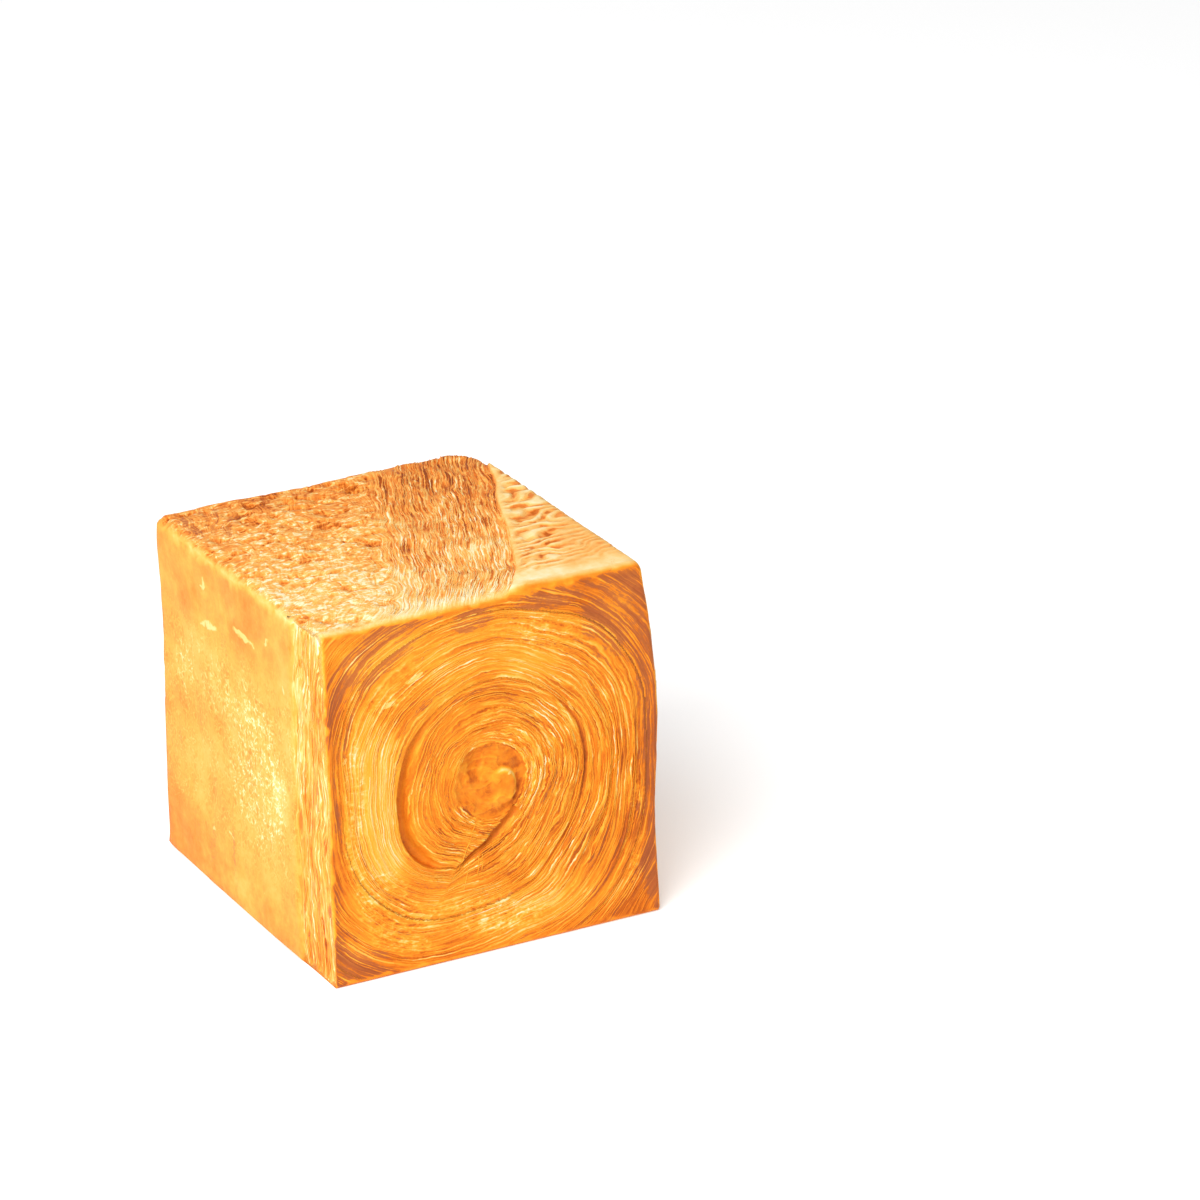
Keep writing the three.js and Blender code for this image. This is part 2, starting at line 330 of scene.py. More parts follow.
def coil_groove(radius, angle, before):
    """The groove round the inner coil, deepest in its crescent: where it is, how strong it is
    on its way round, its bare floor, its depth and how far inside its outer wall a point is."""
    crescent = smooth(angle, 0.0, 0.5) * (1 - smooth(angle, 1.0, 2.5)) * ~before
    within = groove_radius(np.where(before, 0.0, angle)) - radius
    width = mix(0.5, GROOVE_WIDTH, crescent)
    groove = smooth(within, -0.1, 0.2) * (1 - smooth(within, width * 0.5, width * 1.2))
    groove *= np.where(before, 0.15, 1.0)
    floor = groove * smooth(crescent, 0.05, 0.5)
    strength = 0.2 + 0.8 * smooth(angle, 3.0, 3.6) * (1 - smooth(angle, 5.0, 5.8))
    strength = np.maximum(strength, smooth(crescent, 0.1, 0.5))
    depth = mix(0.3, GROOVE_DEPTH, crescent) * groove * strength
    return groove, strength, floor, depth, within


def coil_eye(x, z, seed):
    """The eye's pit and lump, the lump's pale edge and the shade beside it, and fine folds."""
    pit = bell(np.hypot(x - PIT["x"], z - PIT["z"]), PIT["radius"])
    boss_away = np.hypot(x - BOSS["x"], (z - BOSS["z"]) * 0.72)
    boss = 1 - smooth(boss_away, BOSS["radius"] - 0.7, BOSS["radius"] + 0.3)
    boss_side = smooth(x - BOSS["x"] + 0.4 * (z - BOSS["z"]), -0.6, 1.2)
    boss_edge = bell(boss_away - BOSS["radius"] + 0.25, 0.28) * boss_side
    boss_shade = bell(boss_away - BOSS["radius"] - 0.35, 0.35) * boss_side
    folds = np.abs(rough(x / 2.6 + 0.5 * drift(x / 2, z / 2, seed + 45), z / 2.6, seed + 9, 2))
    return pit, boss, boss_edge, boss_shade, 1 - smooth(folds, 0.0, 0.16)


def coil_face(x, z, seed):
    """Relief and finish of a coil face: x to the right and z up from its middle."""
    radius, angle, layer, along, before, phase = coil_layers(x, z, seed)
    glaze, crumb, opened = coil_zones(x, z, seed)
    to_border = HALF - np.maximum(np.abs(x), np.abs(z))
    in_sheet = smooth(layer, -0.06, 0.04)

    # thin layers, which split and run together where they wander
    gap, gape, lift = leaves(phase, along, seed + 6, 10.0)
    gape = gape * opened * in_sheet
    height = -LEAF_SLIT * gap * gape + 0.1 * lift * in_sheet * (1 - glaze)
    height += mix(0.08, 0.3, opened) * drift(along / 26, np.floor(phase) * 0.8, seed + 7) * in_sheet
    height += 0.05 * rough(along / 3, phase * 1.3, seed + 8) * (1 - glaze)

    groove, strength, floor, depth, within = coil_groove(radius, angle, before)
    height = height * (1 - 0.9 * floor) - depth
    # painted shadow of the groove's outer wall along the edge of its floor
    painted_wall_shadow = bell(within - 0.25, 0.45) * floor * smooth(angle, 0.3, 0.8)

    # the straight inner end of the sheet, and the coil that stands above its skin
    past_skin = np.where(angle > TAIL_LEAVES, radius - skin_radius(angle), HALF)
    tail = smooth(past_skin, -0.15, 0.2) * (1 - smooth(past_skin, 1.0, 2.3))
    tail *= 1 - smooth(radius, 14.5, 17.3)
    height = height * (1 - 0.85 * tail) - TAIL_STEP * tail

    # the eye, with a ring round the right of it
    eye = 1 - in_sheet
    pit, boss, boss_edge, boss_shade, folds = coil_eye(x, z, seed)
    ring = eye * bell(radius - 5.9, 1.1) * smooth(np.cos(COIL_START - angle + 0.1), 0.0, 0.6)
    height += eye * (0.2 * rough(x / 2.2, z / 2.2, seed + 46) - 0.3 + 0.22 * folds)
    height += BOSS["height"] * boss * smooth(x - BOSS["x"], -3.5, 1.5) - 0.3 * ring
    height -= 0.7 * PIT["depth"] * pit

    # a smooth border pressed against the mould, and its thin raised rim
    border = 1 - smooth(to_border, 0.3, 2.6)
    rim = 1 - smooth(to_border + 0.6 * drift(x / 1.7, z / 1.7, seed + 50), 0.4, 1.0)
    height = height * (1 - 0.7 * border) - 0.25 * (1 - border)

    tone = 0.56 + 0.05 * (1 - smooth(layer, 0.9, 1.1)) + 0.1 * rough(x / 9, z / 9, seed + 40)
    tone += sum(patches(x, z, BROWNED_ZONES, seed)) + 0.12 * smooth(x, 12, 28)
    tone += 0.1 * (1 - smooth(to_border + drift(x / 6, z / 6, seed + 49), 1.5, 7)) * (1 - crumb)
    # the crescent's floor evened to one orange, with the painted shadow of its outer wall along it
    tone = mix(tone, 0.59, floor) + 0.07 * painted_wall_shadow
    # partly painted shade: the sunken band beside the sheet's inner end is darker, with a painted shadow
    # line just under its step
    tone = mix(tone, 0.68, tail) + 0.12 * bell(past_skin - 0.1, 0.25)
    tone = mix(tone, 0.63 + 0.12 * rough(x / 1.3, z / 1.3, seed + 44) - 0.12 * folds, eye)
    tone += eye * (0.04 * pit - 0.07 * boss - 0.42 * boss_edge + 0.1 * boss_shade) + 0.08 * ring
    # painted shade: darker along the narrow groove, most where the groove is strong
    tone += 0.13 * groove * (1 - floor) * strength
    tone = mix(tone, 0.42, 0.8 * rim)
    layered = 1 - np.clip(eye * mix(0.8, 1, ring + boss) + tail + floor, 0, 1)
    return {
        "height": height,
        "across": phase,
        "along": along,
        "bake": tone,
        "glaze": glaze * (1 - rim),
        "crumb": crumb,
        "gape": np.clip(gape * layered, 0, 1),
        "layered": np.clip(layered * (1 - 0.5 * rim), 0, 1) * smooth(to_border, 0.2, 1.4),
        "seam": bell(within, 0.35) * (1 - eye) * strength,
        "fleck": spots(x, z, FRONT_FLECKS, seed + 48),
        "lacy": np.clip(0.25 + 0.9 * opened, 0, 1) * layered * (1 - border) * (1 - 0.7 * glaze),
    }


# ---- The other faces -----------------------------------------------------------------------
def flap_border(y):
    curl = FLAP["curl"] * np.minimum(0, y - FLAP["curl_from"]) ** 2
    return FLAP["x"] + FLAP["lean"] * y - curl


def top_layers(x, y, seed):
    """How far points of the top lie past the flap's border, how much they are on the flap and
    on the band beside it, and the phase of the layers, straight beside the flap and more and
    more broken to the left."""
    past_flap = x - flap_border(y) + 0.5 * drift(x / 7, y / 7, seed)
    on_flap = smooth(past_flap, -0.2, 0.3)
    on_band = (1 - on_flap) * smooth(past_flap + 2 * drift(x / 6, y / 6, seed + 1),
                                     -BAND_WIDTH - 2.5, -BAND_WIDTH + 2.5)
    wander = 1.3 * drift(x / 6, y / 5, seed + 3) + 0.45 * drift(x / 1.9, y / 2.4, seed + 4)
    phase = (past_flap + wander * mix(1.6, 0.3, on_band)) / BAND_LEAF
    return past_flap, on_flap, on_band, phase


def top_face(x, y, seed):
    past_flap, on_flap, on_band, phase = top_layers(x, y, seed)
    behind_rim = smooth(y + HALF, 0.5, 4)
    crumple = CRUMPLE["height"] * rough(x / CRUMPLE["size"], y / CRUMPLE["size"], seed + 2)

    along = y + 0.3 * x
    gap, gape, lift = leaves(phase, along, seed + 5, 2.6)
    gape = gape * mix(0.25, 0.9, on_band) * (1 - on_flap) * behind_rim
    pits = smooth(rough(x / 2.0, y / 1.4, seed + 8, 2), 0.05, 0.55) * (1 - on_band) * (1 - on_flap)
    rear_holes = patch(x, y, (2, 24), (12, 7), seed + 9)
    relief = -0.6 * gap * gape + 0.12 * lift * on_band - 0.4 * pits * behind_rim * (1 + rear_holes)

    # the flap's ripples run off its border, and break up to the right
    bow = y - 0.25 * (x - 24) + 2.9 * drift(x / 6, y / 5, seed + 6) + 0.9 * drift(x / 2.4, y / 2, seed + 7)
    pitch = mix(FLAP_RIPPLES["pitch_behind"], FLAP_RIPPLES["pitch_in_front"], smooth(-y, -2, 26))
    ripple = np.sin(2 * math.pi * bow / pitch)
    broken = smooth(drift(x / 3.2, np.floor(bow / pitch + 0.25) * 3.7, seed + 13), -0.55, 0.35)
    hollow = smooth(-ripple, -0.2, 0.9) * broken
    crest = smooth(ripple, 0.45, 1.0)
    hollow = np.maximum(hollow * 0.75, smooth(spots(x, y, FLAP_DIMPLES, seed + 16), 0.4, 0.75)) * on_flap
    settle = smooth(past_flap, 0.6, 2.2) * mix(1, 0.4, smooth(past_flap, 7, 13)) * smooth(y + HALF, 4, 9)
    hollow, crest = hollow * settle, crest * settle * on_flap
    flap = FLAP["height"] * (1 - 0.5 * smooth(past_flap, 3, 16))
    flap = flap - FLAP_RIPPLES["height"] * 1.3 * hollow + 0.12 * crest
    height = mix(crumple + relief, flap, on_flap)

    rear = smooth(y + 0.25 * x, -14, 32)
    from_front = y + HALF + 1.2 * drift(x / 4, y / 4, seed + 11)
    front = 1 - smooth(from_front, 0.6 * CREAM_BORDER, CREAM_BORDER + 5)
    front *= 1 - smooth(x, 6, 11) * (1 - smooth(y + HALF, 1.0, 2.4))
    tone = 0.39 + 0.22 * rear + 0.1 * rough(x / 7, y / 6, seed + 10)
    tone -= 0.1 * patch(x, y, (-20, -16), (18, 14), seed + 14)
    # partly painted shade: darker in the layers' gaps and in the pits
    tone += 0.1 * gap * (1 - on_flap) + 0.22 * pits
    # on the flap the ripples' hollows are darker, partly painted shade, and the crests paler
    tone = mix(tone, 0.25 + 0.1 * hollow - 0.05 * crest, on_flap)
    tone += (0.08 * rough(x / 2.2, y / 1.3, seed + 15) + 0.06 * smooth(past_flap, 6, 12)) * on_flap
    # painted shade on the flap's sloped border, which faces the light, and a narrow paler line just inside
    # the flap
    tone += 0.12 * bell(past_flap + 0.1, 0.35) - 0.12 * bell(past_flap - 0.6, 0.3)
    tone -= 0.26 * front
    gilt = smooth(x, 4, 9) * (1 - smooth(y + HALF, 0.5, 1.2))
    tone = mix(tone, 0.56, gilt)
    return {
        "height": height,
        "across": phase,
        "along": along,
        "bake": tone,
        "glaze": 0.5 * patch(x, y, (-26, 24), (8, 9), seed + 12),
        "crumb": np.clip((1 - on_band) * (1 - on_flap), 0, 1) * behind_rim,
        "gape": gape,
        "layered": (1 - on_flap) * mix(0.3, 1, on_band) * mix(0.3, 1, behind_rim),
        # painted sheen: the bright room's reflection drawn into the colour, more on the flap
        "milk": (1.4 + 0.5 * on_flap) * (1 - gilt),
        "lacy": (1 - on_flap) * mix(0.35, 1, on_band) * mix(0.2, 1, behind_rim),
        "ripple": bow / pitch,
        "flap": on_flap * settle,
    }


def strip_layers(y, z, seed):
    """How much points of a side are on the layered strip beside the front, and the layers'
    phase there."""
    edge = y + HALF + 0.5 * drift(z / 8, y / 8, seed + 1)
    bow = 3.0 * smooth(z, 8, 34) + 1.5 * smooth(-z, 16, 34)
    strip = 1 - smooth(edge + 0.5 * bow, LAYERED_STRIP["width"] - 0.4, LAYERED_STRIP["width"] + 0.5)
    wander = 0.8 * drift(z / 7, edge / 3, seed + 2) + 0.3 * drift(z / 2.5, edge / 1.5, seed + 9)
    return strip, (edge + bow + wander) / STRIP_LEAF


def side_face(y, z, seed):
    dimples = SKIN_DIMPLES["height"] * rough(y / SKIN_DIMPLES["size"], z / SKIN_DIMPLES["size"], seed)
    strip, phase = strip_layers(y, z, seed)
    gap, gape, lift = leaves(phase, z, seed + 3)
    gape = gape * 0.4 * strip
    middle_zone = 0.55 * (1 - smooth(np.abs(z + 2), 15, 26))
    mottled = np.maximum.reduce(patches(y, z, MOTTLED_ZONES, seed) + [middle_zone]) * (1 - strip)
    brightest = patch(y, z, (-15, -5), (4, 5), seed + 10)
    height = dimples - LAYERED_STRIP["step"] * strip
    height += strip * (0.2 * lift - 0.5 * gap * gape) + 0.06 * rough(y / 1.8, z / 1.8, seed + 5) * mottled
    tone = 0.45 + 0.13 * rough(y / 10, z / 7, seed + 11) + 0.09 * smooth(y, 14, 32)
    tone += 0.05 * smooth(z, 18, 28) * (1 - strip) + 0.03 * smooth(-z, 20, 30)
    tone += strip * 0.16 * drift(z / 9, np.floor(phase) * 2.3, seed + 12)
    tone -= 0.06 * mottled + 0.16 * brightest
    top_edge = 1 - smooth(HALF - z + 1.0 * drift(y / 1.5, z, seed + 13), 0.9, 1.9)
    front_edge = 1 - smooth(y + HALF + 0.4 * drift(z / 2, y, seed + 14), 0.5, 1.6)
    tone -= 0.27 * top_edge + 0.2 * front_edge
    return {
        "height": height,
        "across": phase,
        "along": z,
        "bake": tone,
        "crumb": 0.85 * mottled,
        "gape": gape,
        "layered": strip,
        # painted sheen: the bright room's reflection drawn into the colour, less on the layered strip
        "milk": 1.0 - 0.3 * strip,
        "fleck": spots(y, z, SIDE_FLECKS, seed + 15),
        "lacy": 0.6 * strip,
    }


def base_face(x, y, seed):
    zero = np.zeros_like(x)
    return {
        "height": zero,
        "across": x,
        "along": y,
        "bake": 0.62 + 0.14 * rough(x / 9, y / 9, seed),
        "glaze": np.clip(0.4 + 0.4 * rough(x / 14, y / 14, seed + 1), 0, 1),
        "crumb": zero + 0.15,
        "layered": zero + 0.1,
    }


FACE_STEP = 7.0  # between the numbers that tell the material which face it is on
# How baked, how glazed and so on: a face that leaves one out has none of it
FINISHES = ("bake", "glaze", "crumb", "gape", "layered", "seam", "milk", "fleck", "lacy",
            "ripple", "flap")


def crust(place, outward):
    """Moves points of the rounded cube outward by each face's relief, and blends the faces'
    finishes by how far a point looks each way."""
    x, y, z = place.T
    faces = (
        ((0, -1, 0), coil_face(x, z, FACE_SEEDS["front"])),
        ((0, 1, 0), coil_face(x, z, FACE_SEEDS["back"])),
        ((0, 0, 1), top_face(x, y, FACE_SEEDS["top"])),
        ((-1, 0, 0), side_face(y, z, FACE_SEEDS["left"])),
        ((1, 0, 0), side_face(y, z, FACE_SEEDS["right"])),
        ((0, 0, -1), base_face(x, y, FACE_SEEDS["base"])),
    )
    moved = place.copy()
    finish = {name: np.zeros(len(place)) for name in FINISHES}
    weights = np.zeros(len(place))
    strongest = np.full(len(place), -1.0)
    grain = np.zeros((len(place), 3))
    for number, (axis, face) in enumerate(faces):
        looks = np.maximum(0, outward @ np.array(axis))
        moved += np.array(axis) * (looks * face["height"])[:, None]
        share = looks**4
        weights += share
        for name in FINISHES:
            finish[name] += share * face.get(name, 0.0)
        first = looks > strongest
        strongest = np.where(first, looks, strongest)
        which = np.full(len(place), FACE_STEP * number)
        here = np.stack((face["across"], face["along"], which), axis=1)
        grain = np.where(first[:, None], here, grain)
    for name in FINISHES:
        finish[name] /= weights
    return moved, finish, grain


# ---- The whole body ------------------------------------------------------------------------
def rounded(p):
    """Points of the sharp cube moved to the rounded one, and their outward directions."""
    right, back = smooth(p[:, 0], -HALF, HALF), smooth(p[:, 1], -HALF, HALF)
    front = mix(EDGE_RADII["front_left"], EDGE_RADII["front_right"], right)
    rear = mix(EDGE_RADII["back_left"], EDGE_RADII["back_right"], right)
    radius = mix(front, rear, back) * mix(BASE_RADIUS_SHARE, 1, smooth(p[:, 2], -HALF, 0))
    core = (HALF - radius)[:, None]
    nearest = np.clip(p, -core, core)
    outward = p - nearest
    outward /= np.linalg.norm(outward, axis=1)[:, None]
    return rounded_corner(nearest + outward * radius[:, None], outward)


def rounded_corner(place, outward):
    """Draws the back right corner in, from a square one to a quarter circle seen from above."""
    core = HALF - ROUND_CORNER
    past = np.maximum(place[:, :2] - core, 0)
    far = np.maximum(np.hypot(*past.T), 1e-9)[:, None]
    level = np.hypot(outward[:, 0], outward[:, 1])[:, None]
    both = (past.min(axis=1) > 0)[:, None]
    drawn = core + past * past.max(axis=1)[:, None] / far
    place = np.concatenate((np.where(both, drawn, place[:, :2]), place[:, 2:]), axis=1)
    outward = np.concatenate((np.where(both, past / far * level, outward[:, :2]), outward[:, 2:]), axis=1)
    return place, outward


def unevenness(p):
    at = np.clip(p / HALF, -1, 1)
    move = np.zeros_like(p)
    for corner, offset in CORNER_OFFSETS:
        share = np.prod(1 + np.array(corner) * at, axis=1) / 8
        move += share[:, None] * np.array(offset)
    waist = np.cos(math.pi / 2 * at[:, 2]) ** 2
    shoulder = bell(at[:, 2] - 0.3, 0.6)
    move[:, 0] += SIDE_PINCH * waist * np.clip(-at[:, 0], 0, 1) * mix(0.4, 1, (1 + at[:, 1]) / 2)
    move[:, 0] += SIDE_BULGE * shoulder * np.clip(at[:, 0], 0, 1)
    return move


def cube_grid(across, deep):
    """Corners and quads of a cube's skin, from whole-numbered steps, with faces outward."""
    steps = np.array((across, deep, across))
    quads = []
    for axis in range(3):
        a, b = (axis + 1) % 3, (axis + 2) % 3
        i, j = np.meshgrid(np.arange(steps[a]), np.arange(steps[b]), indexing="ij")
        for side in (0, 1):
            corners = []
            for di, dj in ((0, 0), (1, 0), (1, 1), (0, 1)):
                at = np.zeros(i.shape + (3,), int)
                at[..., a], at[..., b], at[..., axis] = i + di, j + dj, side * steps[axis]
                corners.append(at)
            ring = np.stack(corners, axis=2).reshape(-1, 4, 3)
            quads.append(ring if side else ring[:, ::-1])
    quads = np.concatenate(quads)
    key = (quads[..., 0] * (steps[1] + 1) + quads[..., 1]) * (steps[2] + 1) + quads[..., 2]
    _, first, index = np.unique(key.ravel(), return_index=True, return_inverse=True)
    points = quads.reshape(-1, 3)[first] / steps * 2.0 - 1.0
    return points * HALF, index.reshape(-1, 4)


def mesh_from(name, points, faces):
    mesh = bpy.data.meshes.new(name)
    sides = faces.shape[1]
    mesh.vertices.add(len(points))
    mesh.vertices.foreach_set("co", np.ascontiguousarray(points, np.float32).ravel())
    mesh.loops.add(faces.size)
    mesh.loops.foreach_set("vertex_index", faces.astype(np.int32).ravel())
    mesh.polygons.add(len(faces))
    mesh.polygons.foreach_set("loop_start", np.arange(0, faces.size, sides, dtype=np.int32))
    mesh.update(calc_edges=True)
    mesh.validate()
    return mesh


def store(mesh, name, values, kind="FLOAT"):
    field = "value" if kind == "FLOAT" else "vector"
    layer = mesh.attributes.get(name) or mesh.attributes.new(name, kind, "POINT")
    layer.data.foreach_set(field, np.ascontiguousarray(values, np.float32).ravel())


def stored_vectors(mesh, name):
    layer = mesh.attributes[name].data
    out = np.empty(len(layer) * 3, np.float32)
    layer.foreach_get("vector", out)
    return out.reshape(-1, 3).astype(np.float64)


def baked_body():
    """The whole crust as one closed mesh, fine enough for its layers."""
    points, quads = cube_grid(FINE_CELLS, FINE_CELLS_DEEP)
    place, outward = rounded(points)
    moved, _, _ = crust(place, outward)
    moved += unevenness(place)
    low, high = moved.min(axis=0), moved.max(axis=0)
    shift = np.array((-(low[0] + high[0]) / 2, -(low[1] + high[1]) / 2, -low[2]))
    mesh = mesh_from("croissant_crust", (moved + shift) * MM, quads)
    store(mesh, "on_cube", points, "FLOAT_VECTOR")
    piece = bpy.data.objects.new("croissant_crust", mesh)
    bpy.context.scene.collection.objects.link(piece)
    detailed = piece.vertex_groups.new(name="detailed")
    for number, amount in enumerate(DETAIL):
        axis, side = divmod(number, 2)
        on_it = np.flatnonzero(points[:, axis] * (2 * side - 1) > HALF - 1e-6)
        detailed.add(on_it.tolist(), amount, "REPLACE")
    thin = piece.modifiers.new("fewer faces", "DECIMATE")
    thin.vertex_group, thin.invert_vertex_group, thin.vertex_group_factor = "detailed", True, 1.0
    thin.ratio = min(1.0, MOST_TRIANGLES / (2 * len(quads)))
    slim = bpy.data.meshes.new_from_object(piece.evaluated_get(bpy.context.evaluated_depsgraph_get()))
    piece.modifiers.clear()
    piece.data = slim
    slim.name = "croissant_crust"
    slim.shade_smooth()

    place, outward = rounded(stored_vectors(slim, "on_cube"))
    _, finish, grain = crust(place, outward)
    for name, values in finish.items():
        store(slim, name, values)
    store(slim, "grain", grain, "FLOAT_VECTOR")
    slim.attributes.remove(slim.attributes["on_cube"])
    return piece, shift


# ---- Thin edges of the layers --------------------------------------------------------------
EDGE_STEP = 0.42  # between two points along an edge
TOP_LEAVES = 40  # layers of the top, counted from the flap
STRIP_LEAVES = 16  # and of a side, counted from the front
EDGE_HEIGHT = 0.3  # of the tallest
SWEEP_STEP = 0.02  # angle between two points of a coil's line, before its points are evened out
LINE_STEP = 0.3  # and the distance between them on the other faces
SOLVE_ROUNDS = 16  # that bring a line onto its layer
EDGE_FAMILIES = (0.22, 0.68)  # where in a layer's thickness its edges stand up


def coil_edges(seed):
    """Long lines along the layers of a coil face, as rows of x and z, with what is off the
    face or doesn't follow a layer marked as not a number."""
    swept = np.arange(TAIL_LEAVES - 2 * math.pi, MOST_TURNS * 2 * math.pi, SWEEP_STEP)
    within = np.concatenate([np.arange(LEAVES_PER_TURN) + part for part in EDGE_FAMILIES])[:, None]
    turn = np.floor(swept / (2 * math.pi))
    turned = swept - turn * 2 * math.pi
    inner = np.where(turn == 0, skin_radius(turned), groove_radius(turned + (turn - 1) * 2 * math.pi))
    inner = np.where(turn < 0, EYE_RADIUS, np.minimum(inner, HALF * 1.5))
    outer = groove_radius(np.where(turn < 0, 0.0, swept))
    away = mix(inner, outer, within / LEAVES_PER_TURN)
    target = within + LEAVES_PER_TURN * np.maximum(0, turn)
    pitch = (outer - inner) / LEAVES_PER_TURN
    direction = COIL_START - swept
    for _ in range(SOLVE_ROUNDS):
        x, z = COIL_CENTRE[0] + away * np.cos(direction), COIL_CENTRE[1] + away * np.sin(direction)
        _, _, layer, _, _, phase = coil_layers(x, z, seed)
        off = phase + LEAVES_PER_TURN * np.maximum(0, np.floor(layer)) - target
        away = away - 0.7 * pitch * np.clip(off, -1, 1)
    lost = (np.abs(off) > 0.1) | (np.maximum(np.abs(x), np.abs(z)) > HALF - 0.7)
    return np.where(lost, np.nan, x), np.where(lost, np.nan, z)


def solved_rows(numbers, along, guess, pitch, phase_at):
    """Where each of the numbered lines of layers lies across a face, for each place along."""
    across = guess
    for _ in range(SOLVE_ROUNDS):
        off = phase_at(across, along) - numbers
        across = across - 0.6 * pitch * np.clip(off, -1, 1)
    lost = (np.abs(off) > 0.12) | (np.maximum(np.abs(across), np.abs(along)) > HALF - 0.8)
    return np.where(lost, np.nan, across), np.where(lost, np.nan, along)


def numbered(count):
    """The lines' numbers, as a column."""
    return np.sort(np.concatenate([np.arange(count) + part for part in EDGE_FAMILIES]))[:, None]


def top_edges(seed):
    numbers = -numbered(TOP_LEAVES)
    y = np.arange(-HALF, HALF, LINE_STEP) + 0 * numbers
    guess = flap_border(y) + numbers * BAND_LEAF
    return solved_rows(numbers, y, guess, BAND_LEAF, lambda a, b: top_layers(a, b, seed)[3])


def strip_edges(seed):
    numbers = numbered(STRIP_LEAVES)
    z = np.arange(-HALF, HALF, LINE_STEP) + 0 * numbers
    guess = numbers * STRIP_LEAF - HALF
    return solved_rows(numbers, z, guess, STRIP_LEAF, lambda a, b: strip_layers(a, b, seed)[1])


def even_runs(rows_a, rows_b):
    """Each unbroken run of each row, as points EDGE_STEP apart, with its distance along."""
    for number, (a, b) in enumerate(zip(rows_a, rows_b)):
        good = np.flatnonzero(~np.isnan(a))
        if not len(good):
            continue
        for run in np.split(good, np.flatnonzero(np.diff(good) > 1) + 1):
            if len(run) < 8:
                continue
            gone = np.concatenate(([0], np.cumsum(np.hypot(np.diff(a[run]), np.diff(b[run])))))
            at = np.arange(0, gone[-1], EDGE_STEP)
            if len(at) > 6:
                yield number, at, np.interp(at, gone, a[run]), np.interp(at, gone, b[run])


def edge_paths(name, lines, axis, level, seed, shift):
    """Lines across one side of the cube, set on the crust as loose edges that break off and start
    again, with how far each point reaches out of it. The side is at one level along one axis."""
    points, number, along, ends = [], [], [], []
    for row, at, a, b in even_runs(*lines):
        points.append(np.insert(np.stack((a, b), axis=1), axis, level, axis=1))
        number.append(np.full(len(at), float(row)))
        along.append(at)
        ends.append(np.arange(len(at)) == len(at) - 1)
    points, number = np.concatenate(points), np.concatenate(number)
    along, ends = np.concatenate(along), np.concatenate(ends)
    place, outward = rounded(points)
    moved, finish, _ = crust(place, outward)
    presence = drift(along / 7, number * 3.7, seed) + 0.4 * drift(along / 2.2, number * 5.1, seed + 1)
    reach = smooth(presence, -0.45, 0.55) * mix(0.5, 1, finish["gape"]) * finish["layered"]
    reach *= (1 - 0.75 * smooth(finish["glaze"], 0.2, 0.6)) * EDGE_HEIGHT
    crinkle = 0.1 * drift(along / 1.3, number * 7.3, seed + 2)
    crinkle += 0.05 * drift(along / 0.8, number * 3.3, seed + 4)
    ahead = np.roll(moved, -1, axis=0) - moved
    sideways = np.cross(outward, ahead)
    sideways /= np.maximum(np.linalg.norm(sideways, axis=1), 1e-9)[:, None]
    moved += unevenness(place) + outward * (0.15 * reach)[:, None] + sideways * crinkle[:, None]
    kept = reach > 0.08
    joined = kept[:-1] & kept[1:] & ~ends[:-1]
    first = np.flatnonzero(joined)
    mesh = bpy.data.meshes.new(name)
    mesh.vertices.add(len(points))
    mesh.vertices.foreach_set("co", np.ascontiguousarray((moved + shift) * MM, np.float32).ravel())
    mesh.edges.add(len(first))
    mesh.edges.foreach_set("vertices", np.stack((first, first + 1), axis=1).astype(np.int32).ravel())
    store(mesh, "outward", outward, "FLOAT_VECTOR")
    store(mesh, "reach", reach * MM)
    store(mesh, "bake", finish["bake"])
    store(mesh, "milk", finish["milk"])
    store(mesh, "paleness", 0.5 + 0.5 * drift(along / 5, number * 2.9, seed + 3))
    return mesh


def socket_called(node, key):
    """A node's input by its name, with _ for a space, or by its number, as in _6."""
    return node.inputs[int(key[1:]) if key[1:].isdigit() else key.replace("_", " ")]


class Recipe:
    """A Geometry Nodes tree and its named inputs."""

    def __init__(self, name, sizes):
        self.tree = bpy.data.node_groups.new(name, "GeometryNodeTree")
        face = self.tree.interface
        face.new_socket("Geometry", in_out="INPUT", socket_type="NodeSocketGeometry")
        self.keys = {key: face.new_socket(key, in_out="INPUT", socket_type="NodeSocketFloat").identifier
                     for key in sizes}
        self.sizes = sizes
        face.new_socket("Geometry", in_out="OUTPUT", socket_type="NodeSocketGeometry")
        self.inputs = self.tree.nodes.new("NodeGroupInput").outputs

    def node(self, kind, settings=None, **inputs):
        made = self.tree.nodes.new(kind)
        for key, value in (settings or {}).items():
            setattr(made, key, value)
        for key, value in inputs.items():
            socket = socket_called(made, key)
            if isinstance(value, bpy.types.NodeSocket):
                self.tree.links.new(value, socket)
            else:
                socket.default_value = value
        return made.outputs[0]

    def field(self, name, kind="FLOAT"):
        return self.node("GeometryNodeInputNamedAttribute", {"data_type": kind}, Name=name)

    def apply(self, name, mesh, shape, material):
        """Ends the tree in real faces of one material, and gives them as a plain mesh."""
        shape = self.node("GeometryNodeRealizeInstances", Geometry=shape)
        shape = self.node("GeometryNodeSetMaterial", Geometry=shape, Material=material)
        self.tree.links.new(shape, self.tree.nodes.new("NodeGroupOutput").inputs[0])
        piece = bpy.data.objects.new(name, mesh)
        bpy.context.scene.collection.objects.link(piece)
        step = piece.modifiers.new(name, "NODES")
        step.node_group = self.tree
        for key, value in self.sizes.items():
            step[self.keys[key]] = value
        seen = piece.evaluated_get(bpy.context.evaluated_depsgraph_get())
        made = bpy.data.meshes.new_from_object(seen)
        piece.modifiers.clear()
        piece.data = made
        made.name = name
        return piece


